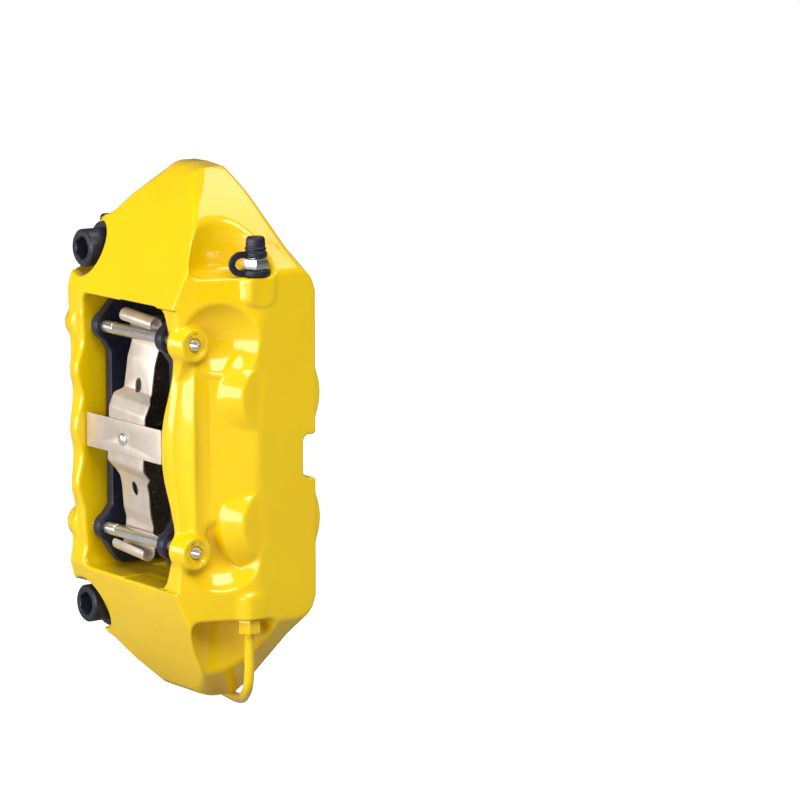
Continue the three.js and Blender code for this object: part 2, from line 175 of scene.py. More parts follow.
def metal_material(name, colour, rough, brush, depth=0.004, metallic=1.0):
    """Steel with fine lines: brush is the stretch along x, y and z, small along the lines."""
    m, t, s = new_material(name, Metallic=metallic)
    at = coordinates(t, brush)
    broad = coordinates(t)
    dark = tuple(c * 0.86 for c in colour)
    t.links.new(tint(t, noise(t, broad, 0.12, 4), [(0.3, dark), (0.65, colour)]), s.inputs["Base Color"])
    t.links.new(spread(t, noise(t, at, 1.0, 6, 0.65), rough * 0.7, rough * 1.35), s.inputs["Roughness"])
    bump(t, s, noise(t, at, 1.0, 6, 0.65), depth, 0.6)
    return m


def rubber_material(name, colour):
    m, t, s = new_material(name, Specular_IOR_Level=0.45)
    at = coordinates(t)
    dusty = tuple(c * 1.9 + 0.006 for c in colour)
    t.links.new(tint(t, noise(t, at, 0.3, 4), [(0.4, colour), (0.8, dusty)]), s.inputs["Base Color"])
    t.links.new(spread(t, noise(t, at, 1.2, 4), 0.36, 0.55), s.inputs["Roughness"])
    bump(t, s, noise(t, at, 2.2, 3), 0.02, 0.5)
    return m


def friction_material():
    m, t, s = new_material("friction_compound", Specular_IOR_Level=0.3)
    at = coordinates(t)
    cells = t.nodes.new("ShaderNodeTexVoronoi")
    cells.inputs["Scale"].default_value = 1.1
    t.links.new(at, cells.inputs["Vector"])
    flecks = tint(t, cells.outputs["Color"], [(0.0, (0.035, 0.032, 0.03)), (0.55, (0.07, 0.062, 0.055)),
                                              (0.86, (0.1, 0.075, 0.05)), (0.93, (0.42, 0.28, 0.15))])
    t.links.new(flecks, s.inputs["Base Color"])
    t.links.new(spread(t, noise(t, at, 1.5, 5), 0.75, 0.95), s.inputs["Roughness"])
    bump(t, s, noise(t, at, 1.3, 6, 0.7), 0.15, 0.7)
    return m


MATERIALS = {
    "yellow_paint": paint_material(),
    "piston_steel": metal_material("piston_chrome", (0.72, 0.72, 0.73), 0.14, (1, 0.05, 1)),
    "seal_rubber": rubber_material("seal_rubber", (0.016, 0.016, 0.019)),
    "pad_plate_black": black_material("plate_powder_coat", (0.010, 0.012, 0.026), 0.36, 0.0, 1.6),
    "friction_lining": friction_material(),
    "shim_steel": metal_material("shim_sheet", (0.42, 0.42, 0.43), 0.34, (2.2, 1, 0.05)),
    "pin_steel": metal_material("pin_ground_steel", (0.86, 0.84, 0.81), 0.24, (1.2, 3.2, 1.2), 0.004, 0.85),
    "spring_steel": metal_material("spring_strip", (0.78, 0.68, 0.58), 0.36, (3, 3, 0.06), 0.003, 0.55),
    "zinc_steel": metal_material("bright_zinc", (0.66, 0.67, 0.69), 0.25, (2, 2, 2)),
    "cap_rubber": rubber_material("cap_rubber", (0.010, 0.011, 0.024)),
    "black_steel": black_material("black_oxide_steel", (0.022, 0.022, 0.034), 0.36, 0.35, 2.4),
}


# ---------------------------------------------------------------- making pieces
def finish_piece(obj, body, slot, nodes, smooth_deg=32):
    if smooth_deg:
        obj.data.shade_smooth()
        obj.data.set_sharp_from_angle(angle=math.radians(smooth_deg))
    obj.data.materials.clear()
    obj.data.materials.append(MATERIALS[slot])
    if nodes:
        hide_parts(*nodes)
    if body:
        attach(obj, body)
    return obj


def mesh_object(name, verts, faces):
    """An object from points in (u, y, z) and faces, with its normals made to point outwards."""
    me = bpy.data.meshes.new(name)
    me.from_pydata(row(verts).tolist(), [], [list(f) for f in faces])
    bm = bmesh.new()
    bm.from_mesh(me)
    bmesh.ops.remove_doubles(bm, verts=bm.verts, dist=1e-7)
    bmesh.ops.recalc_face_normals(bm, faces=bm.faces)
    bm.to_mesh(me)
    bm.free()
    obj = bpy.data.objects.new(name, me)
    bpy.context.scene.collection.objects.link(obj)
    return obj


def apply_modifiers(obj):
    dg = bpy.context.evaluated_depsgraph_get()
    dg.update()
    me = bpy.data.meshes.new_from_object(obj.evaluated_get(dg), preserve_all_data_layers=True, depsgraph=dg)
    obj.modifiers.clear()
    obj.data = me
    return obj


def soften(points, radius, steps=4, closed=False):
    """A line of 2D points with its corners rounded."""
    p = [np.array(q, float) for q in points]
    n = len(p)
    out = []
    for i in range(n):
        if not closed and i in (0, n - 1):
            out.append(p[i])
            continue
        a, b, c = p[i - 1], p[i], p[(i + 1) % n]
        ab, cb = a - b, c - b
        la, lc = np.linalg.norm(ab), np.linalg.norm(cb)
        ab, cb = ab / la, cb / lc
        corner = math.acos(max(-1.0, min(1.0, float(ab @ cb))))
        if corner > math.radians(172):
            out.append(b)
            continue
        reach = min(radius / math.tan(corner / 2), 0.47 * la, 0.47 * lc)
        start, end = b + ab * reach, b + cb * reach
        for k in range(steps + 1):
            t = k / steps
            out.append((1 - t) ** 2 * start + 2 * t * (1 - t) * b + t * t * end)
    return [tuple(q) for q in out]


AXES = {"x": ((0, 1, 0), (0, 0, 1), (-1, 0, 0)), "y": ((1, 0, 0), (0, 0, 1), (0, 1, 0)),
        "z": ((1, 0, 0), (0, 1, 0), (0, 0, 1))}


def lathe_points(axis, centre, profile, segments, shape=None):
    """A closed surface turned from [radius, height]. shape(radius, height, angle) may move a point."""
    a, b, up = (np.array(v, float) for v in AXES[axis])
    ring_angles = np.linspace(0, 2 * math.pi, segments, endpoint=False)
    verts, rings = [], []
    for r, h in profile:
        if r < 1e-6:
            rings.append([len(verts)])
            verts.append(np.array(centre) + up * h)
            continue
        rings.append(list(range(len(verts), len(verts) + segments)))
        for t in ring_angles:
            rr, hh = shape(r, h, t) if shape else (r, h)
            verts.append(np.array(centre) + up * hh + a * rr * math.cos(t) + b * rr * math.sin(t))
    faces = []
    closed = profile[0][0] > 1e-6 and profile[-1][0] > 1e-6
    pairs = list(zip(rings, rings[1:])) + ([(rings[-1], rings[0])] if closed else [])
    for low, high in pairs:
        for i in range(segments):
            j = (i + 1) % segments
            if len(low) == 1 and len(high) == 1:
                continue
            if len(low) == 1:
                faces.append((low[0], high[j], high[i]))
            elif len(high) == 1:
                faces.append((low[i], low[j], high[0]))
            else:
                faces.append((low[i], low[j], high[j], high[i]))
    return verts, faces


def lathe(name, axis, centre, profile, segments=64, radius=0.25, shape=None):
    closed = profile[0][0] > 1e-6 and profile[-1][0] > 1e-6
    line = soften(profile, radius, 3, closed) if radius else profile
    return mesh_object(name, *lathe_points(axis, centre, line, segments, shape))


def plate(name, axis, loops, low, high, bevel=0.3, along=None):
    """A flat piece from an outline and its holes, between two heights along an axis."""
    curve = bpy.data.curves.new(name, "CURVE")
    curve.dimensions = "2D"
    curve.fill_mode = "BOTH"
    curve.extrude = (high - low) / 2 - bevel
    curve.bevel_depth = bevel
    curve.bevel_resolution = 2
    curve.offset = -bevel
    for loop in loops:
        s = curve.splines.new("POLY")
        s.points.add(len(loop) - 1)
        for point, (p, q) in zip(s.points, loop):
            point.co = (p, q, 0, 1)
        s.use_cyclic_u = True
    shell = bpy.data.objects.new(name, curve)
    bpy.context.scene.collection.objects.link(shell)
    bpy.context.view_layer.update()
    dg = bpy.context.evaluated_depsgraph_get()
    me = bpy.data.meshes.new_from_object(shell.evaluated_get(dg))
    bpy.data.objects.remove(shell)
    co = np.empty(len(me.vertices) * 3)
    me.vertices.foreach_get("co", co)
    co = co.reshape(-1, 3)
    a, b, up = (np.array(v, float) for v in AXES[axis])
    verts = co[:, :1] * a + co[:, 1:2] * b + (co[:, 2:] + (low + high) / 2) * up
    faces = [tuple(p.vertices) for p in me.polygons]
    bpy.data.meshes.remove(me)
    if along:
        verts, faces = along(verts, faces)
    return mesh_object(name, verts, faces)


def circle(a, b, radius, sides=48, turn=0.0):
    return [(a + radius * math.cos(t), b + radius * math.sin(t))
            for t in np.linspace(turn, turn + 2 * math.pi, sides, endpoint=False)]


def hexagon(a, b, across, turn=0.0):
    return circle(a, b, across / math.sqrt(3), 6, turn)


def arc(a, b, radius, start, end, steps):
    return [(a + radius * math.cos(t), b + radius * math.sin(t))
            for t in np.radians(np.linspace(start, end, steps + 1))]


def carve(obj, *cutters):
    """Takes the cutters' solids out of obj."""
    for cutter in cutters:
        m = obj.modifiers.new("carve", "BOOLEAN")
        m.operation, m.solver, m.object = "DIFFERENCE", "EXACT", cutter
    apply_modifiers(obj)
    for cutter in cutters:
        bpy.data.objects.remove(cutter)
    return obj


def fuse(name, *parts):
    """One object from several solids, united."""
    first, rest = parts[0], parts[1:]
    for part in rest:
        m = first.modifiers.new("fuse", "BOOLEAN")
        m.operation, m.solver, m.object = "UNION", "EXACT", part
    apply_modifiers(first)
    for part in rest:
        bpy.data.objects.remove(part)
    first.name = name
    return first


def smooth_line(points, steps):
    """A centripetal Catmull-Rom line through 3D points, as the frame's pipe has."""
    p = np.array(points, float)
    p = np.vstack([2 * p[0] - p[1], p, 2 * p[-1] - p[-2]])
    out = []
    for i in range(1, len(p) - 2):
        a, b, c, d = p[i - 1:i + 3]
        t0 = 0.0
        t1 = t0 + np.linalg.norm(b - a) ** 0.5
        t2 = t1 + np.linalg.norm(c - b) ** 0.5
        t3 = t2 + np.linalg.norm(d - c) ** 0.5
        for t in np.linspace(t1, t2, steps, endpoint=False):
            a1 = (t1 - t) / (t1 - t0) * a + (t - t0) / (t1 - t0) * b
            a2 = (t2 - t) / (t2 - t1) * b + (t - t1) / (t2 - t1) * c
            a3 = (t3 - t) / (t3 - t2) * c + (t - t2) / (t3 - t2) * d
            b1 = (t2 - t) / (t2 - t0) * a1 + (t - t0) / (t2 - t0) * a2
            b2 = (t3 - t) / (t3 - t1) * a2 + (t - t1) / (t3 - t1) * a3
            out.append((t2 - t) / (t2 - t1) * b1 + (t - t1) / (t2 - t1) * b2)
    out.append(p[-2])
    return np.array(out)


def sweep(name, line, section):
    """A closed section of [sideways, upwards] points carried along a line of (u, y, z) points."""
    line = np.asarray(line, float)
    way = np.gradient(line, axis=0)
    way /= np.linalg.norm(way, axis=1)[:, None]
    side = np.cross(way[0], (0, 1, 0) if abs(way[0][1]) < 0.9 else (1, 0, 0))
    side /= np.linalg.norm(side)
    verts = []
    for p, w in zip(line, way):
        side = side - w * (side @ w)
        side /= np.linalg.norm(side)
        up = np.cross(w, side)
        verts += [p + side * a + up * b for a, b in section]
    n, k = len(line), len(section)
    faces = [(i * k + j, i * k + (j + 1) % k, (i + 1) * k + (j + 1) % k, (i + 1) * k + j)
             for i in range(n - 1) for j in range(k)]
    faces += [tuple(range(k)), tuple(range((n - 1) * k, n * k))]
    return mesh_object(name, verts, faces)


# ---------------------------------------------------------------- the casting as a distance field
# Bare numbers inside casting() are its own offsets, slopes and rounding widths, in millimetres.
def smin(a, b, k):
    """The smaller of a and b, rounded over a width of k where they meet."""
    h = np.maximum(k - np.abs(a - b), 0) / k
    return np.minimum(a, b) - h * h * k / 4


def smax(a, b, k):
    return -smin(-a, -b, k)


def polygon_distance(a, b, corners):
    """Signed distance in a plane to a polygon, negative inside."""
    c = np.array(corners, float)
    best, inside = None, None
    for p, q in zip(c, np.roll(c, -1, 0)):
        e = q - p
        wa, wb = a - p[0], b - p[1]
        t = np.clip((wa * e[0] + wb * e[1]) / (e @ e), 0, 1)
        d = (wa - e[0] * t) ** 2 + (wb - e[1] * t) ** 2
        best = d if best is None else np.minimum(best, d)
        crosses = ((p[1] > b) != (q[1] > b)) & (
            a < (q[0] - p[0]) * (b - p[1]) / (q[1] - p[1] + 1e-12) + p[0])
        inside = crosses if inside is None else inside ^ crosses
    return np.sqrt(best) * np.where(inside, -1, 1)


def block(a, b, a0, a1, b0, b1, corner=0.0):
    """Signed distance in a plane to a rectangle with rounded corners."""
    qa = np.abs(a - (a0 + a1) / 2) - (a1 - a0) / 2 + corner
    qb = np.abs(b - (b0 + b1) / 2) - (b1 - b0) / 2 + corner
    return np.hypot(np.maximum(qa, 0), np.maximum(qb, 0)) + np.minimum(np.maximum(qa, qb), 0) - corner


def wave(z, knots):
    """A smooth curve through (z, value) knots, level at each knot."""
    z = np.asarray(z, float)
    zs, vs = [k[0] for k in knots], [k[1] for k in knots]
    at = np.clip(np.searchsorted(zs, z) - 1, 0, len(zs) - 2)
    z0, z1 = np.take(zs, at), np.take(zs, at + 1)
    v0, v1 = np.take(vs, at), np.take(vs, at + 1)
    t = np.clip((z - z0) / (z1 - z0), 0, 1)
    return v0 + (v1 - v0) * t * t * (3 - 2 * t)


PLAN = [(-66, 96), (-24, 120.5), (-14, 127), (-2, TIP_TOP), (9, TIP_TOP), (31.5, 104), (42.5, 98.5),
        (49.5, 94), (52.5, 88), (52.5, LEDGE_Z), (66, LEDGE_Z), (66, -LEDGE_Z), (52.5, -LEDGE_Z),
        (52.5, -88), (49.5, -94), (42.5, -99), (34, -104),
        (12, TIP_BOTTOM), (-20, TIP_BOTTOM), (-66, -96)]
SIDE = [(240, 135), (143, 135), (132, 92), (125, 78), (LEG_INNER, 72), (LEG_INNER, -72), (125, -78),
        (132, -92), (143, -135), (240, -135)]
RIM_OUT = [(-65.5, 190), (-40, 188), (0, 190.8), (40, 188), (65.5, 190)]
POCKET = [(-66, 2.5), (-40, 6), (-6, 0), (6, 0), (40, 6), (66, 2.5)]
RIM_IN = [(-65.5, 192.1), (-56, 190.2), (-40, 191.2), (-27, 194.4), (-12, 191.8), (0, 195), (16, 191.4),
          (28, 194.4), (43, 190.6), (65.5, 191.6)]


def casting(u, y, z):
    """Distance to the casting's surface, negative inside. u, y and z broadcast together."""
    side = np.abs(y)
    wheel = y < 0

    # Outer skin, concentric with the disc and waved along the window's rims.
    concentric = np.sqrt(np.maximum(OUTER_RADIUS ** 2 - z ** 2, 1))
    blend = np.clip((y + 12) / 24, 0, 1)
    rim = wave(z, RIM_OUT) * (1 - blend) + wave(z, RIM_IN) * blend
    skin = np.where(np.abs(z) > WINDOW_Z, concentric, rim)
    lean = concentric / OUTER_RADIUS
    d_skin = (u - skin) * lean

    body = smax(polygon_distance(y, z, PLAN), polygon_distance(u, z, SIDE), 2.5)
    # Diagonal facets that cut the face's corners, leaning back toward the disc's centre.
    twist = 0.12 * (u - 140) * np.clip((np.abs(z) - 82) / 12, 0, 1)
    diagonal = (side - BODY_HALF + 0.9032 * (np.abs(z) - FACE_END) + np.where(z > 0, twist, 0)) / 1.3475
    body = smax(body, np.where(wheel, diagonal, -50), 5.0)
    body = smax(body, d_skin, 2 + 5 * np.clip((np.abs(z) - 112) / 12, 0, 1))

    # Sloping shoulders between the skin and the flat faces.
    edge = 162.8 - 0.00215 * (z + 5) ** 2
    slope = 15.5 / (190 - edge)
    sunk = 3.4 * np.clip((48 - np.abs(z + 5)) / 10, 0, 1)
    shoulder = (side - BODY_HALF + slope * (u - edge)) / np.sqrt(1 + slope ** 2) + sunk
    shoulder = smin(shoulder, 0.45 * (LEDGE_Z + 5 - np.abs(z)), 3)
    body = smax(body, shoulder, 1.0)

    # Dishes around the pin bosses.
    for pin in PIN_Z:
        out = 1 if pin > 0 else -1
        dish = np.sqrt((u - 178) ** 2 + (side - 70) ** 2 + (z - pin - 1.5 * out) ** 2) - 24.5
        body = smax(body, -dish, 1.2)

    # Rail along the window: a leaf-shaped facet, a narrow face and the valley behind it.
    along = np.abs(z - 1.5)
    top = np.where(wheel, 190.4, 193.5) - 0.0009 * along ** 2
    leaf = (u - top + 0.62 * (side - 39.5 + 0.0016 * along ** 2)) / 1.1766
    rail = smax(np.maximum(d_skin, side - 51 + 0.0015 * along ** 2), leaf, 0.5)
    rail = smax(rail, RAIL_FLOOR - u, 0.8)
    rail = smax(rail, along - 58, 6)
    body = smin(body, rail, 1.5)
    valley = np.hypot(u - 180 - 0.002 * along ** 2, side - 56.4) - 6.2
    valley = smax(valley, along - 40, 8)
    body = smax(body, -valley, 1.6)

    # Piston lobes with their chamfered outer ends.
    for centre in PISTON_Z:
        across = np.hypot(u - PISTON_U, z - centre) - 25.4
        cut = 8 * np.clip((u - 148) / 8, 0, 1)
        lobe = smax(across, (across + side - BODY_HALF + cut) * 0.7071, 0.6)
        lobe = smax(smax(lobe, side - BODY_HALF, 0.6), 34 - side, 1)
        body = smin(body, lobe, 1.0)
    body = smax(body, -smax(block(u, z, 100, 130, -16, 4.5, 3.5), 20 - side, 2), 2)
    body = smax(body, side - BODY_HALF, 1.2)

    # Pin bosses.
    for pin in PIN_Z:
        across = np.hypot(u - PIN_U, z - pin)
        face = np.where(wheel, BOSS_FACE, BOSS_FACE - 2.5)
        boss = smax(across - BOSS_RADIUS + 0.12 * (side - 46), side - face, 1.0)
        boss = smax(boss, 40 - side, 3)
        body = smin(body, boss, 1.8)
        body = smax(body, -smax(across - 6, face - side, 0.5), 0.5)
        seat = smax(across - 5.2, face - 0.7 - side, 0.4)
        body = smax(body, -seat, 0.4)

    # Vertical bosses that carry the bleeders and the wheel-side pipe nut.
    for (where, bu, by), end in ((BLEEDER_AT[0], 1), (BLEEDER_AT[1], 1), (PIPE_AT[0], -1)):
        across = np.hypot(u - bu, y - where * by)
        stem = smax(across - STEM_R, 62 - end * z + 0.8 * across, 2)
        stem = smax(np.maximum(stem, end * z - LEDGE_Z), side - BODY_HALF, 1)
        body = smin(body, stem, 2.0)

    # Scoops above and below the shoulders.
    for end in (1, -1):
        scoop = smax(np.hypot(u - 166, y + 58.6) - 20.6, LEDGE_Z - end * z, 5.0)
        body = smax(body, -scoop, 1.8)
        back_u, back_y = (162, 63) if end > 0 else (150, 63.5)
        back = smax(np.hypot(u - back_u, y - back_y) - 14, LEDGE_Z - end * z, 4.0)
        body = smax(body, -back, 2.0)

    # Knuckle ears.
    for end in (1, -1):
        across = np.hypot(y - BOLT_Y, z - end * BOLT_Z)
        ear = smax(np.maximum(across - EAR_RADIUS, u - BOLT_SEAT), MOUNT_FACE - u, 0.8)
        body = smin(body, ear, 5.0)
        seat = smax(across - EAR_RADIUS, BOLT_SEAT - u, 1.0)
        corner = np.maximum(np.maximum(BOLT_Y + 1 - y, BOLT_Z - end * z), BOLT_SEAT - u)
        body = smax(body, -np.minimum(seat, corner), 1.5)
        below = np.maximum(np.maximum(u - MOUNT_FACE, 72 - end * z), BOLT_Y - 16 - y)
        body = smax(body, -below, 0.8)
        body = smax(body, -(across - BOLT_R - 0.5), 0.8)

    # Slot for the disc, and the window.
    slot = smax(np.hypot(u, z) - DISC_ROOM, side - SLOT_HALF, 3)
    body = smax(body, -slot, 1.6)
    window = block(y, z, -WINDOW_Y, WINDOW_Y, -WINDOW_Z, WINDOW_Z, 5)
    body = smax(body, -window, 1.8)
    pocket = smax(-y - WINDOW_Y - wave(z, POCKET), np.abs(z) - WINDOW_Z, 8)
    pocket = smax(smax(pocket, RAIL_FLOOR - u, 4), y, 1)
    body = smax(body, -pocket, 1.8)

    # Bores, ports and drillings.
    for centre in PISTON_Z:
        across = np.hypot(u - PISTON_U, z - centre)
        bore = np.maximum(across - PISTON_R - 0.12, side - 56.5)
        groove = np.maximum(across - PISTON_R - 3.4, np.abs(side - 43) - 2)
        recess = np.maximum(across - PISTON_R - 3, side - 38)
        body = smax(body, -np.minimum(np.minimum(bore, groove), recess), 0.5)
    for pin in PIN_Z:
        body = smax(body, -(np.hypot(u - PIN_U, z - pin) - PIN_R - 0.25), 0.5)
    for (where, bu, by), end in [(b, 1) for b in BLEEDER_AT] + [(p, -1) for p in PIPE_AT]:
        across = np.hypot(u - bu, y - where * by)
        body = smax(body, -np.maximum(across - PORT_R, LEDGE_Z - 13 - end * z), 0.5)
    hose = np.maximum(np.hypot(u - HOSE_U, z - HOSE_Z) - HOSE_R, BODY_HALF - HOSE_DEPTH - y)
    return smax(body, -hose, 0.8)


def gradient(u, y, z, step=0.12):
    """The outward unit normal of the casting's field."""
    g = np.stack([casting(u + step, y, z) - casting(u - step, y, z),
                  casting(u, y + step, z) - casting(u, y - step, z),
                  casting(u, y, z + step) - casting(u, y, z - step)], -1)
    return g / np.maximum(np.linalg.norm(g, axis=-1, keepdims=True), 1e-9)


def contour(lows, highs, cell):
    """Dual contouring of casting(): points and quads in (u, y, z)."""
    axes = [np.arange(lo, hi + cell, cell) for lo, hi in zip(lows, highs)]
    u, y, z = np.ix_(*axes)
    field = casting(u, y, z).astype(np.float32)
    inside = field < 0
    shape = np.array(field.shape)
    points, edges = [], []
    for axis in range(3):
        step = np.eye(3, dtype=int)[axis]
        here = tuple(slice(0, s - d) for s, d in zip(shape, step))
        there = tuple(slice(d, s) for s, d in zip(shape, step))
        at = np.argwhere(inside[here] != inside[there])
        a = field[tuple(at.T)]
        b = field[tuple((at + step).T)]
        start = np.stack([axes[i][at[:, i]] for i in range(3)], -1)
        low, high = np.zeros(len(at)), np.ones(len(at))
        t = (a / (a - b)).astype(float)
        for _ in range(3):
            p = start + t[:, None] * step * cell
            f = casting(*p.T)
            same = (f < 0) == (a < 0)
            low, high = np.where(same, t, low), np.where(same, high, t)
            t = np.clip(t - f / (b - a), low, high)
            stuck = (t <= low) | (t >= high)
            t = np.where(stuck, (low + high) / 2, t)
        points.append(start + t[:, None] * step * cell)
        edges.append((at, axis, a < 0))
    p = np.concatenate(points)
    n = gradient(*p.T)
    flat = lambda ijk: (ijk[:, 0] * shape[1] + ijk[:, 1]) * shape[2] + ijk[:, 2]
    corners = []
    for at, axis, _ in edges:
        b, c = [k for k in range(3) if k != axis]
        around = []
        for db, dc in ((0, 0), (-1, 0), (-1, -1), (0, -1)):
            q = at.copy()
            q[:, b] += db
            q[:, c] += dc
            around.append(flat(q))
        corners.append(np.stack(around, 1))
    every = np.concatenate(corners)
    ids, index = np.unique(every, return_inverse=True)
    index = index.reshape(every.shape)
    count = np.bincount(index.ravel(), minlength=len(ids))
    middle = np.stack([np.bincount(index.ravel(), np.repeat(p[:, k], 4), len(ids)) for k in range(3)], -1)
    middle /= count[:, None]
    matrix = np.zeros((len(ids), 3, 3))
    target = np.zeros((len(ids), 3))
    for k in range(4):
        idx = index[:, k]
        away = np.einsum("ij,ij->i", n, p - middle[idx])
        for i in range(3):
            target[:, i] += np.bincount(idx, n[:, i] * away, len(ids))
            for j in range(3):
                matrix[:, i, j] += np.bincount(idx, n[:, i] * n[:, j], len(ids))
    move = np.linalg.solve(matrix + 0.08 * np.eye(3), target[..., None])[..., 0]
    cell_low = np.stack(np.unravel_index(ids, shape), -1) * cell + np.array(lows)
    verts = np.clip(middle + move, cell_low - 0.05 * cell, cell_low + 1.05 * cell)
    quads, first = [], 0
    for (at, axis, low_inside) in edges:
        q = index[first:first + len(at)]
        first += len(at)
        turn = low_inside if axis != 1 else ~low_inside
        quads.append(np.where(turn[:, None], q[:, ::-1], q))
    return verts, np.concatenate(quads)


def casting_piece():
    """The casting's mesh, with its normals taken from the field itself."""
    cell = 0.95
    verts, quads = contour((112.3, -65.4, -130.4), (208.0, 66.0, 133.0), cell)
    me = bpy.data.meshes.new("casting")
    me.vertices.add(len(verts))
    me.vertices.foreach_set("co", row(verts).astype(np.float32).ravel())
    me.loops.add(quads.size)
    me.loops.foreach_set("vertex_index", quads.astype(np.int32).ravel())
    me.polygons.add(len(quads))
    me.polygons.foreach_set("loop_start", np.arange(0, quads.size, 4, dtype=np.int32))
    me.update(calc_edges=True)
    me.validate()
    obj = bpy.data.objects.new("caliper_casting", me)
    bpy.context.scene.collection.objects.link(obj)
    m = obj.modifiers.new("fewer", "DECIMATE")
    m.ratio = min(1.0, 180000 / (2 * len(quads)))
    apply_modifiers(obj)
    me = obj.data
    co = np.empty(len(me.vertices) * 3, np.float32)
    me.vertices.foreach_get("co", co)
    co = co.reshape(-1, 3).astype(float) / MM
    u, y, z = MOUNT_FACE - co[:, 0], co[:, 1] + BOLT_Y, co[:, 2]
    n = gradient(u, y, z, 0.2)
    n[:, 0] *= -1
    me.shade_smooth()
    me.normals_split_custom_set_from_vertices(n.tolist())
    print("casting:", len(me.vertices), "points", len(me.polygons), "faces")
    return finish_piece(obj, "housing", "yellow_paint", ["caliper_body"], smooth_deg=None)


casting_piece()


# ---------------------------------------------------------------- pistons, seals and boots
def hydraulics(side_name, side, end_name, centre):
    where = f"{side_name}_{end_name}"
    at = (PISTON_U, 0, centre)
    r, back = PISTON_R, PISTON_FAR
    y = lambda pairs: [(p, side * h) for p, h in pairs]
    piston = lathe(f"piston_{where}_turned", "y", at, y(
        [(0, back), (r - 1, back), (r, back - 1), (r, 36.2), (r - 1.4, 35.8), (r - 1.4, 33.8), (r, 33.4),
         (r, PISTON_NEAR), (r - 4.5, PISTON_NEAR), (r - 4.5, 44), (r - 6, back - 6), (0, back - 6)]), 96, 0.5)
    finish_piece(piston, f"{where}_piston", "piston_steel", [f"piston_{where}"])
    seal = lathe(f"piston_seal_{where}_ring", "y", at, y(
        [(r + 0.12, 41.2), (r + 3.2, 41.2), (r + 3.2, 44.8), (r + 0.12, 44.8)]), 96, 0.3)
    finish_piece(seal, "housing", "seal_rubber", [f"piston_seal_{where}"])
    boot = lathe(f"dust_boot_{where}_folded", "y", at, y(
        [(r + 0.15, 33.1), (r + 0.9, 32.9), (r + 1.5, 33.9), (r + 2.1, 32.9), (r + 2.85, 33.2),
         (r + 2.85, 37.8), (r + 2.1, 37.8), (r + 2.1, 34.6), (r + 1.5, 35.1), (r + 0.8, 34.1),
         (r + 0.15, 34.5)]), 96, 0.25)
    finish_piece(boot, "housing", "seal_rubber", [f"dust_boot_{where}"])


for side_name, side in SIDES:
    for (end_name, _), centre in zip(ENDS, PISTON_Z):
        hydraulics(side_name, side, end_name, centre)


# ---------------------------------------------------------------- pads
def span(side, a, b):
    return min(side * a, side * b), max(side * a, side * b)


def ear(centre):
    return arc(PIN_U - 1.5, centre, 7, -68, 68, 14)


def plate_outline():
    corners = [(122.5, -52), (128, -64.8), (176, -64.8), (181, -59)]
    far = [(181, 60), (176, 64.8), (128, 64.8), (122.5, 52)]
    line = corners + ear(PIN_Z[1]) + [(180.5, -36), (180.5, 38)] + ear(PIN_Z[0]) + far
    return soften(line, 2.5, 4, True)


def lining_outline():
    outer = arc(0, 0, 170.4, -18.5, 18.5, 28)
    inner = arc(0, 0, 125, 22, -22, 28)
    return soften(outer + inner, 2.0, 3, True)


for side_name, side in SIDES:
    body = f"{side_name}_pad"
    back = plate(f"pad_plate_{side_name}_pressed", "y",
                 [plate_outline()] + [circle(PIN_U, z, PIN_R + 0.5, 40) for z in PIN_Z],
                 *span(side, PLATE_NEAR, PLATE_FAR), 0.5)
    finish_piece(back, body, "pad_plate_black", [f"pad_plate_{side_name}"])
    lining = plate(f"pad_lining_{side_name}_pressed", "y", [lining_outline()],
                   *span(side, LINING_NEAR, PLATE_NEAR - 0.02), 0.5)
    groove = plate("groove", "y", [[(100, -1.2), (180, -1.2), (180, 1.2), (100, 1.2)]],
                   *span(side, LINING_NEAR - 1.4, LINING_NEAR + 6), 0.3)
    finish_piece(carve(lining, groove), body, "friction_lining", [f"pad_lining_{side_name}"])
    shim = plate(f"pad_shim_{side_name}_sheet", "y",
                 [soften([(126, -58), (172, -58), (172, 58), (126, 58)], 4, 5, True)],
                 *span(side, PLATE_FAR + 0.05, PLATE_FAR + 0.75), 0.15)
    finish_piece(shim, body, "shim_steel", [f"pad_shim_{side_name}"])

for (end_name, _), z in zip(ENDS, PIN_Z):
    pin = lathe(f"pad_pin_{end_name}_ground", "y", (PIN_U, 0, z), [
        (0, -54.7), (0.9, -54.5), (2.5, -51.7), (PIN_R, -51), (PIN_R, 15.5), (2.62, 15.75), (2.62, 16.75),
        (PIN_R, 17), (PIN_R, 49.8), (4.6, 49.8), (4.6, 53.2), (4.1, 53.7), (2.2, 53.7), (1.9, 52.9),
        (0, 52.7)], 64, 0.25)
    finish_piece(pin, f"{end_name}_pin", "pin_steel", [f"pad_pin_{end_name}"])


# ---------------------------------------------------------------- pad spring
SPRING_THICK = 0.8
SPRING_TURN = math.radians(4.3)     # the strip sits a little askew in its window
SPRING_SLOT_R, SPRING_SLOT_SHAPE = 3.6, 0.72        # oval slots, narrower across the strip
STRAP_U, STRAP_HALF, STRAP_REACH = 189.6, 7.6, 32.4


def spring_line():
    """The strip's middle line, (u, z) from its lower curl to its upper one."""
    low = PIN_U - PIN_R - SPRING_THICK
    curl = 3.2
    upper = [(low, 44), (low, 56)] + arc(low + curl, 56.5, curl, 165, 0, 9) + [(low + 5.6, 54.6)]
    lower = [(low, -41), (low, -53)] + arc(low + curl, -53.5, curl, 195, 360, 9) + [(low + 5.6, -51.6)]
    middle = [(180.8, -36), (182.2, -25), (184.2, -17.5), (188.3, -13), (188.3, 13), (186.2, 18.5),
              (182.6, 22.5), (181.2, 37)]
    return soften(lower[::-1] + middle + upper, 2.0, 5)


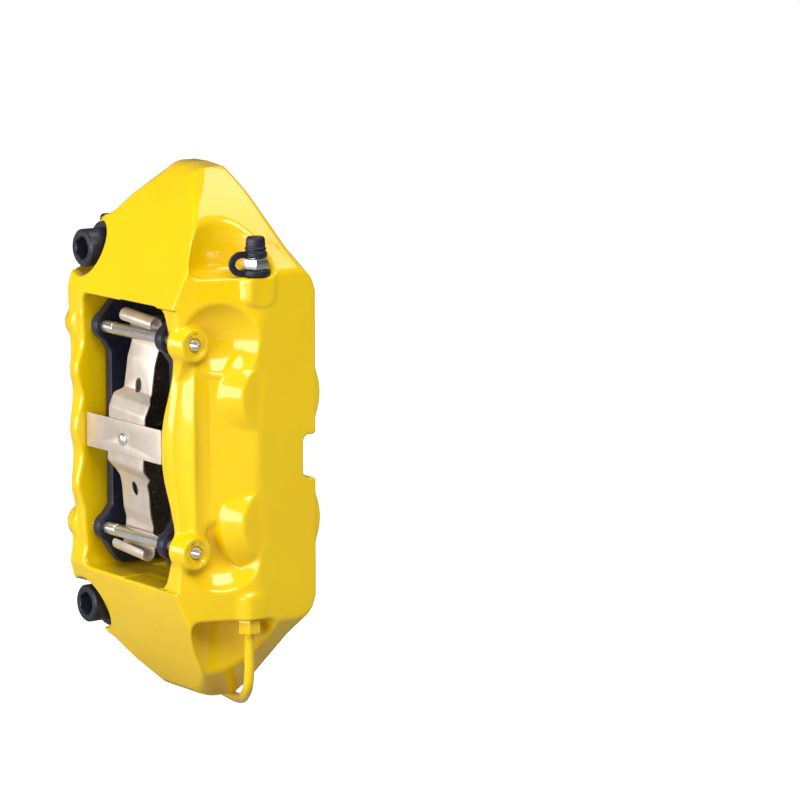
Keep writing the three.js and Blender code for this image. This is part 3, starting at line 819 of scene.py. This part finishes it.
def bend_onto(path):
    """Carries a flat strip laid out along z onto a line of (u, z), keeping its thickness."""
    p = np.array(path, float)
    length = np.concatenate([[0], np.cumsum(np.linalg.norm(np.diff(p, axis=0), axis=1))])
    zero = np.interp(0, p[:, 1][10:-10], length[10:-10])
    length -= zero

    def carry(verts, faces):
        bm = bmesh.new()
        made = [bm.verts.new(v) for v in verts]
        for f in faces:
            bm.faces.new([made[i] for i in f])
        bmesh.ops.remove_doubles(bm, verts=bm.verts, dist=1e-5)
        for s in np.arange(math.ceil(length[0]) - 0.5, length[-1], 0.8):
            geom = bm.verts[:] + bm.edges[:] + bm.faces[:]
            bmesh.ops.bisect_plane(bm, geom=geom, plane_co=(0, 0, s), plane_no=(0, 0, 1), dist=1e-6)
        v = np.array([x.co for x in bm.verts])
        bm.verts.index_update()
        loops = [[x.index for x in f.verts] for f in bm.faces]
        bm.free()
        s = np.clip(v[:, 2], length[0], length[-1])
        at = np.stack([np.interp(s, length, p[:, 0]), np.interp(s, length, p[:, 1])], -1)
        e = 0.15
        ahead = np.stack([np.interp(s + e, length, p[:, 0]), np.interp(s + e, length, p[:, 1])], -1)
        behind = np.stack([np.interp(s - e, length, p[:, 0]), np.interp(s - e, length, p[:, 1])], -1)
        way = ahead - behind
        way /= np.linalg.norm(way, axis=1)[:, None]
        rise = v[:, 0]
        u = at[:, 0] + rise * way[:, 1]
        z = at[:, 1] - rise * way[:, 0]
        c, sn = math.cos(SPRING_TURN), math.sin(SPRING_TURN)
        y = v[:, 1]
        return np.stack([u, y * c - z * sn, y * sn + z * c], -1), loops

    return carry, length[0], length[-1]


def spring_piece():
    carry, start, stop = bend_onto(spring_line())
    wide, leaf, end = 15.4, 11.6, 13.4
    edge = [(wide, 19.6), (leaf, 23), (leaf, 49), (end, 52), (end, stop)]
    low = [(end, start), (end, -50), (leaf, -47), (leaf, -22), (wide, -18.6)]
    right = low + edge
    outline = soften(right + [(-y, s) for y, s in reversed(right)], 1.6, 4, True)
    slots = []
    for s in (26.8, -26.3):
        slots.append([(y * SPRING_SLOT_SHAPE, z) for y, z in circle(0, s, SPRING_SLOT_R, 28)][::-1])
    hole = circle(0, 0, 1.8, 24)[::-1]
    half = SPRING_THICK / 2
    strip = plate("pad_spring_strip", "x", [outline, hole] + slots, -half, half, 0.16, along=carry)
    finish_piece(strip, "housing", "spring_steel", ["pad_spring"], 40)


spring_piece()
strap_outline = soften([(-STRAP_REACH, -STRAP_HALF), (STRAP_REACH, -STRAP_HALF),
                        (STRAP_REACH, STRAP_HALF + 1), (-STRAP_REACH, STRAP_HALF + 1)], 0.8, 3, True)
strap = plate("spring_cross_strap_sheet", "x", [strap_outline, circle(0, 0, 1.85, 24)[::-1]],
              -STRAP_U - 0.5, -STRAP_U + 0.5, 0.18)
finish_piece(strap, "housing", "spring_steel", ["spring_cross_strap"])
rivet = lathe("spring_rivet_set", "x", (0, 0, 0), [
    (0, -STRAP_U + 2.9), (2.4, -STRAP_U + 2.9), (2.5, -STRAP_U + 2.1), (1.6, -STRAP_U + 2.0),
    (1.6, -STRAP_U - 0.6), (3.2, -STRAP_U - 0.6), (3.05, -STRAP_U - 1.25), (2.2, -STRAP_U - 1.95),
    (1.0, -STRAP_U - 2.25), (0, -STRAP_U - 2.3)], 48, 0.15)
finish_piece(rivet, "housing", "pin_steel", ["spring_rivet"])


# ---------------------------------------------------------------- bleeders
def bleeder(side_name, side, u, y):
    at = (u, side * y, LEDGE_Z)
    helix = lambda r, h, t: (r - 0.32 * abs(((h / BLEEDER_PITCH - t / (2 * math.pi)) % 1.0) * 2 - 1)
                             if -10 < h < 2.6 and r > 3.4 else r, h)
    thread = [(3.8, h) for h in np.arange(-9.9, 2.7, 0.125)]
    stem = lathe("stem", "z", at, [(0, -13), (1.6, -13), (3.4, -10.2)] + thread + [
        (3.4, 3.0), (3.4, 8.4), (2.6, 9), (2.6, 11.2), (3.4, 12.2), (3.4, 13.4), (2.4, 15.5), (1, 15.6),
        (0.9, 12), (0, 12)], 48, 0, helix)
    collar = plate("collar", "z", [hexagon(u, side * y, 11)], LEDGE_Z + 3.3, LEDGE_Z + 8.2, 0.35)
    screw = fuse(f"bleeder_screw_{side_name}_cut", stem, collar)
    finish_piece(screw, f"{side_name}_bleeder", "zinc_steel", [f"bleeder_screw_{side_name}"])
    cap = lathe(f"bleeder_cap_{side_name}_moulded", "z", at, [
        (0, 16.1), (3.7, 16.1), (3.7, 8.8), (5.3, 8.8), (5.4, 9.6), (5.4, 11), (4.7, 11.5), (4.7, 12.1),
        (5.0, 12.4), (5.0, 13.1), (4.5, 13.5), (4.5, 14.0), (4.6, 14.3), (4.3, 17.4), (3.6, 18.3),
        (1.2, 18.4), (0.9, 18.1), (0, 18.1)], 56, 0.2)
    finish_piece(cap, f"{side_name}_bleeder_cap", "cap_rubber", [f"bleeder_cap_{side_name}"])
    band = lathe(f"bleeder_cap_ring_{side_name}_moulded", "z", at,
                 [(4.1, 0.3), (7, 0.3), (7, 2.9), (4.1, 2.9)], 56, 0.7)
    finish_piece(band, f"{side_name}_bleeder", "cap_rubber", [f"bleeder_cap_ring_{side_name}"])
    line = smooth_line([(4.6, 0, 10.1), (6.8, 0, 10.2), (9.4, 0, 10.1), (12.1, 0, 8.5), (13.1, 0, 5.6),
                        (11.2, 0, 2.7), (8.8, 0, 1.7), (6.4, 0, 1.6)], 6)
    line[:, 0] *= -side
    line += np.array(at)
    loop = sweep(f"bleeder_cap_strap_{side_name}_moulded", line,
                 soften([(-1.6, -0.75), (1.6, -0.75), (1.6, 0.75), (-1.6, 0.75)], 0.5, 3, True))
    finish_piece(loop, None, "cap_rubber", [f"bleeder_cap_strap_{side_name}"])
    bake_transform(loop)


for (side_name, _), (side, u, y) in zip(SIDES, BLEEDER_AT):
    bleeder(side_name, side, u, y)


# ---------------------------------------------------------------- crossover pipe
def pipe_route():
    down, up = [[(u, side * y, z) for z in (-72, -84, -98)] for side, u, y in PIPE_AT]
    across = [(156, -54, -106), (155.5, -52, -114), (151.5, -43, -120.5), (145, -30, -125),
              (139, -14, -127.5), (136.5, 8, -126), (138, 28, -121), (142, 42, -116), (146, 54, -109)]
    return down + across + up[::-1]


pipe = sweep("crossover_pipe_bent", smooth_line(pipe_route(), 12), circle(0, 0, PIPE_R, 28))
finish_piece(pipe, "housing", "yellow_paint", ["crossover_pipe"])
for (side_name, _), (side, u, y) in zip(SIDES, PIPE_AT):
    y *= side
    bore = PIPE_R + PIPE_CLEAR
    hole = circle(u, y, bore, 32)[::-1]
    collar = plate("collar", "z", [hexagon(u, y, 10), hole], -LEDGE_Z - 7, -LEDGE_Z - 0.3, 0.45)
    thread = lathe("thread", "z", (u, y, 0), [
        (bore, -LEDGE_Z + 11), (3.8, -LEDGE_Z + 11), (3.8, -LEDGE_Z - 0.5), (bore, -LEDGE_Z - 0.5)], 32, 0.2)
    nut = fuse(f"pipe_nut_{side_name}_cut", collar, thread)
    finish_piece(nut, "housing", "yellow_paint", [f"pipe_nut_{side_name}"])


# ---------------------------------------------------------------- knuckle bolts
def knuckle_bolt(end_name, z):
    at = (0, BOLT_Y, z)
    seat = BOLT_SEAT + WASHER_THICK
    washer = lathe(f"mounting_washer_{end_name}_stamped", "x", at,
                   [(BOLT_R + 0.4, -seat + 0.2), (WASHER_RADIUS, -seat + 0.2),
                    (WASHER_RADIUS, -BOLT_SEAT - 0.1), (BOLT_R + 0.4, -BOLT_SEAT - 0.1)], 72, 0.35)
    finish_piece(washer, "housing", "black_steel", [f"mounting_washer_{end_name}"])
    tip = -MOUNT_FACE + 24
    start = tip - 26
    helix = lambda r, h, t: (r - 0.85 * abs(((h / BOLT_PITCH - t / (2 * math.pi)) % 1.0) * 2 - 1)
                             if start < h < tip - 1.3 and r > 5.5 else r, h)
    thread = [(BOLT_R, h) for h in np.arange(start + 0.1, tip - 1.3, 0.22)]
    head = soften([(0, -seat - 12), (8.2, -seat - 12), (9, -seat - 11.2), (9, -seat), (BOLT_R, -seat)],
                  0.3, 3)
    bolt = lathe(f"mounting_bolt_{end_name}_turned", "x", at,
                 head + [(BOLT_R, start)] + thread + [(5.1, tip - 1.2), (4.4, tip), (0, tip)], 72, 0, helix)
    socket = plate("socket", "x", [hexagon(BOLT_Y, z, 10.2, math.radians(30))], -seat - 14, -seat - 5, 0.05)
    flare = lathe("flare", "x", at, [
        (0, -seat - 13), (6.7, -seat - 13), (5.1, -seat - 11.4), (0, -seat - 11.4)], 48, 0)
    finish_piece(carve(bolt, socket, flare), "housing", "black_steel", [f"mounting_bolt_{end_name}"])


for end_name, end in ENDS:
    knuckle_bolt(end_name, end * BOLT_Z)


# ---------------------------------------------------------------- floor, lights and camera
def floor_piece():
    size, level = 12.0, -0.136
    me = bpy.data.meshes.new("floor")
    me.from_pydata([(-size, -size, level), (size, -size, level), (size, size, level), (-size, size, level)],
                   [], [(0, 1, 2, 3)])
    obj = bpy.data.objects.new("floor", me)
    bpy.context.scene.collection.objects.link(obj)
    m, t, s = new_material("pale_floor", Roughness=0.9, Specular_IOR_Level=0.1)
    at = coordinates(t)
    t.links.new(tint(t, noise(t, at, 0.004, 2), [(0.3, (0.36, 0.36, 0.36)), (0.7, (0.4, 0.4, 0.4))]),
                s.inputs["Base Color"])
    s.inputs["Emission Color"].default_value = (1, 1, 1, 1)
    seen = t.nodes.new("ShaderNodeLightPath")
    t.links.new(seen.outputs["Is Camera Ray"], s.inputs["Emission Strength"])
    me.materials.append(m)


def soft_box(name, position, size, power, aim=(-0.03, -0.04, 0.0)):
    data = bpy.data.lights.new(name, "AREA")
    data.shape = "RECTANGLE"
    data.size, data.size_y = size
    data.energy = power
    obj = bpy.data.objects.new(name, data)
    bpy.context.scene.collection.objects.link(obj)
    obj.location = position
    obj.rotation_euler = (Vector(aim) - Vector(position)).to_track_quat("-Z", "Y").to_euler()


floor_piece()
soft_box("left_wall", (-1.7, 0.05, 0.16), (3.2, 0.75), 44, (0.0, 0.05, 0.1))
soft_box("top_right_box", (0.72, -0.12, 1.40), (0.8, 0.6), 4.6)
soft_box("front_top_box", (-0.35, -1.35, 1.45), (1.5, 0.9), 30)

world = bpy.data.worlds.new("studio")
world.use_nodes = True
background = world.node_tree.nodes["Background"]
background.inputs["Color"].default_value = (1, 1, 1, 1)
background.inputs["Strength"].default_value = 0.13
bpy.context.scene.world = world
bpy.context.scene.view_settings.view_transform = "Standard"

# The camera stands in front of the wheel side and looks slightly down on it.
CAMERA_AT = (-1.09324, -1.69036, 0.34064)
CAMERA_RIGHT = Vector((0.808648, -0.588292, 0))
CAMERA_UP = Vector((0.0958805, 0.131794, 0.986629))
camera = bpy.data.objects.new("camera", bpy.data.cameras.new("camera"))
bpy.context.scene.collection.objects.link(camera)
camera.matrix_world = Matrix.Translation(CAMERA_AT) @ Matrix(
    (CAMERA_RIGHT, CAMERA_UP, CAMERA_RIGHT.cross(CAMERA_UP))).transposed().to_4x4()
camera.data.lens = 189.63
camera.data.sensor_width = 36
camera.data.clip_end = 50
bpy.context.scene.camera = camera
